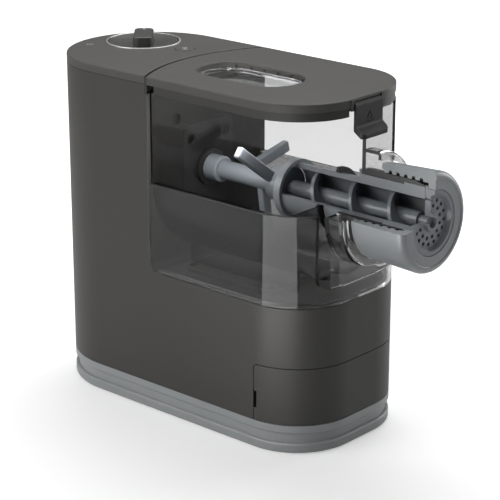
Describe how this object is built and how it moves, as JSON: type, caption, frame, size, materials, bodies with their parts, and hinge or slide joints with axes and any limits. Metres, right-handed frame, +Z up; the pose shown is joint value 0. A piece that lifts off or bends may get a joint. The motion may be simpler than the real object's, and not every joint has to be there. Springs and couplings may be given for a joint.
{
  "type": "electric pasta maker",
  "caption": "Tall countertop pasta extruder with a dial and button panel, clear mixing chamber, lid, cutaway nozzle with screw and ring nut, and a storage drawer.",
  "frame": {"origin": "middle of the bounding box, on the surface that the feet stand on", "axes": "+Z up, the ring nut faces -Y, +X is the right side seen from behind the machine"},
  "size_m": [0.135, 0.35, 0.2786],
  "materials": {
    "base_grey": "satin",
    "foot_rubber": "matte",
    "steel": "satin",
    "housing_dark": "satin, fine grain",
    "coupling_grey": "satin",
    "black_plastic": "matte",
    "panel_grey": "satin, fine grain",
    "ring_chrome": "polished",
    "board_green": "satin",
    "frame_alloy": "as cast",
    "bush_brass": "machined",
    "steel_sheets": "stacked sheets",
    "copper_coil": "enamelled",
    "gear_white": "moulded",
    "knob_dark": "satin",
    "pointer_white": "gloss",
    "clear_smoke": "clear smoked plastic",
    "trough_smoke": "clear smoked plastic",
    "clear_front": "clear plastic",
    "spout_dark": "satin",
    "tube_grey": "gloss",
    "seal_dark": "matte",
    "auger_grey": "gloss",
    "disc_grey": "gloss",
    "nut_grey": "satin",
    "window_clear": "clear plastic",
    "latch_dark": "gloss",
    "tray_grey": "satin"
  },
  "bodies": {
    "main": {"base_tray": "base_grey", "rubber_feet": "foot_rubber", "base_screws": "steel", "frame_screws": "steel", "idler_axle": "steel", "motor_bearings": "steel", "motor_bolts": "steel", "main_housing": "housing_dark", "coupling_plate": "coupling_grey", "sight_plugs": "coupling_grey", "cord_gland": "black_plastic", "drawer_rails": "black_plastic", "dial_encoder": "black_plastic", "button_switch": "black_plastic", "motor_bracket": "black_plastic", "control_panel": "panel_grey", "dial_ring": "ring_chrome", "control_board": "board_green", "power_board": "board_green", "gearbox_frame": "frame_alloy", "output_bushes": "bush_brass", "motor_stator": "steel_sheets", "motor_windings": "copper_coil"},
    "drive": {"output_shaft": "steel", "output_gear": "gear_white"},
    "idler": {"idler_gear": "gear_white"},
    "rotor": {"motor_rotor": "steel", "motor_pinion": "steel", "motor_fan": "black_plastic"},
    "knob": {"dial_knob": "knob_dark", "knob_pointer": "pointer_white", "encoder_shaft": "steel"},
    "button": {"start_button": "panel_grey"},
    "chamber": {"chamber_skirt": "clear_smoke", "mixing_trough": "trough_smoke", "front_cover": "clear_front", "threaded_spout": "spout_dark", "extrusion_tube": "tube_grey", "tube_mouth_ring": "tube_grey", "tube_seal": "seal_dark", "shaft_seal": "seal_dark"},
    "auger": {"auger_screw": "auger_grey", "mixing_paddle": "auger_grey"},
    "die": {"shaping_disc": "disc_grey"},
    "ring_nut": {"ring_nut": "nut_grey"},
    "lid": {"lid_top": "panel_grey", "lid_skirt": "panel_grey", "lid_window": "window_clear", "window_pegs": "seal_dark", "lid_seal": "seal_dark", "latch_pin": "steel"},
    "latch": {"lid_latch": "latch_dark"},
    "drawer": {"drawer_front": "housing_dark", "drawer_tray": "tray_grey"}
  },
  "joints": [
    {"name": "rotor_spin", "type": "hinge", "parent": "main", "child": "rotor", "pos_m": [0, 0.11, 0.09525], "axis": [0, 1, 0], "continuous": true},
    {"name": "idler_spin", "type": "hinge", "parent": "main", "child": "idler", "pos_m": [0, 0.075, 0.134], "axis": [0, 1, 0], "continuous": true},
    {"name": "drive_spin", "type": "hinge", "parent": "main", "child": "drive", "pos_m": [0, 0.06, 0.188], "axis": [0, 1, 0], "continuous": true},
    {"name": "knob_turn", "type": "hinge", "parent": "main", "child": "knob", "pos_m": [0.0195, 0.136, 0.27], "axis": [0, 0, -1], "range_deg": [-150, 150]},
    {"name": "button_press", "type": "slide", "parent": "main", "child": "button", "axis": [0, 0, -1], "range_m": [0, 0.001], "stiffness_N_per_m": 600, "springref_m": -0.0006},
    {"name": "drawer_slide", "type": "slide", "parent": "main", "child": "drawer", "axis": [0, -1, 0], "range_m": [0, 0.105]},
    {"name": "chamber_slide", "type": "slide", "parent": "main", "child": "chamber", "axis": [0, -1, 0], "range_m": [0, 0.09]},
    {"name": "auger_spin", "type": "hinge", "parent": "chamber", "child": "auger", "pos_m": [0, -0.06, 0.188], "axis": [0, 1, 0], "continuous": true},
    {"name": "disc_release", "type": "slide", "parent": "chamber", "child": "die", "axis": [0, -1, 0], "range_m": [0, 0.0215]},
    {"name": "nut_unscrew", "type": "hinge", "parent": "die", "child": "ring_nut", "pos_m": [0, -0.15, 0.188], "axis": [0, -1, 0], "range_deg": [0, 1080]},
    {"name": "lid_lift", "type": "slide", "parent": "chamber", "child": "lid", "axis": [0, 0, 1], "range_m": [0, 0.12]},
    {"name": "latch_swing", "type": "hinge", "parent": "lid", "child": "latch", "pos_m": [0, -0.11, 0.2659], "axis": [-1, 0, 0], "range_deg": [0, 35]}
  ],
  "couplings": [
    {"joint": "idler_spin", "follows": "rotor_spin", "ratio": -0.24},
    {"joint": "drive_spin", "follows": "rotor_spin", "ratio": 0.048},
    {"joint": "auger_spin", "follows": "rotor_spin", "ratio": 0.048},
    {"joint": "disc_release", "follows": "nut_unscrew", "m_per_rad": 0.0011141}
  ]
}
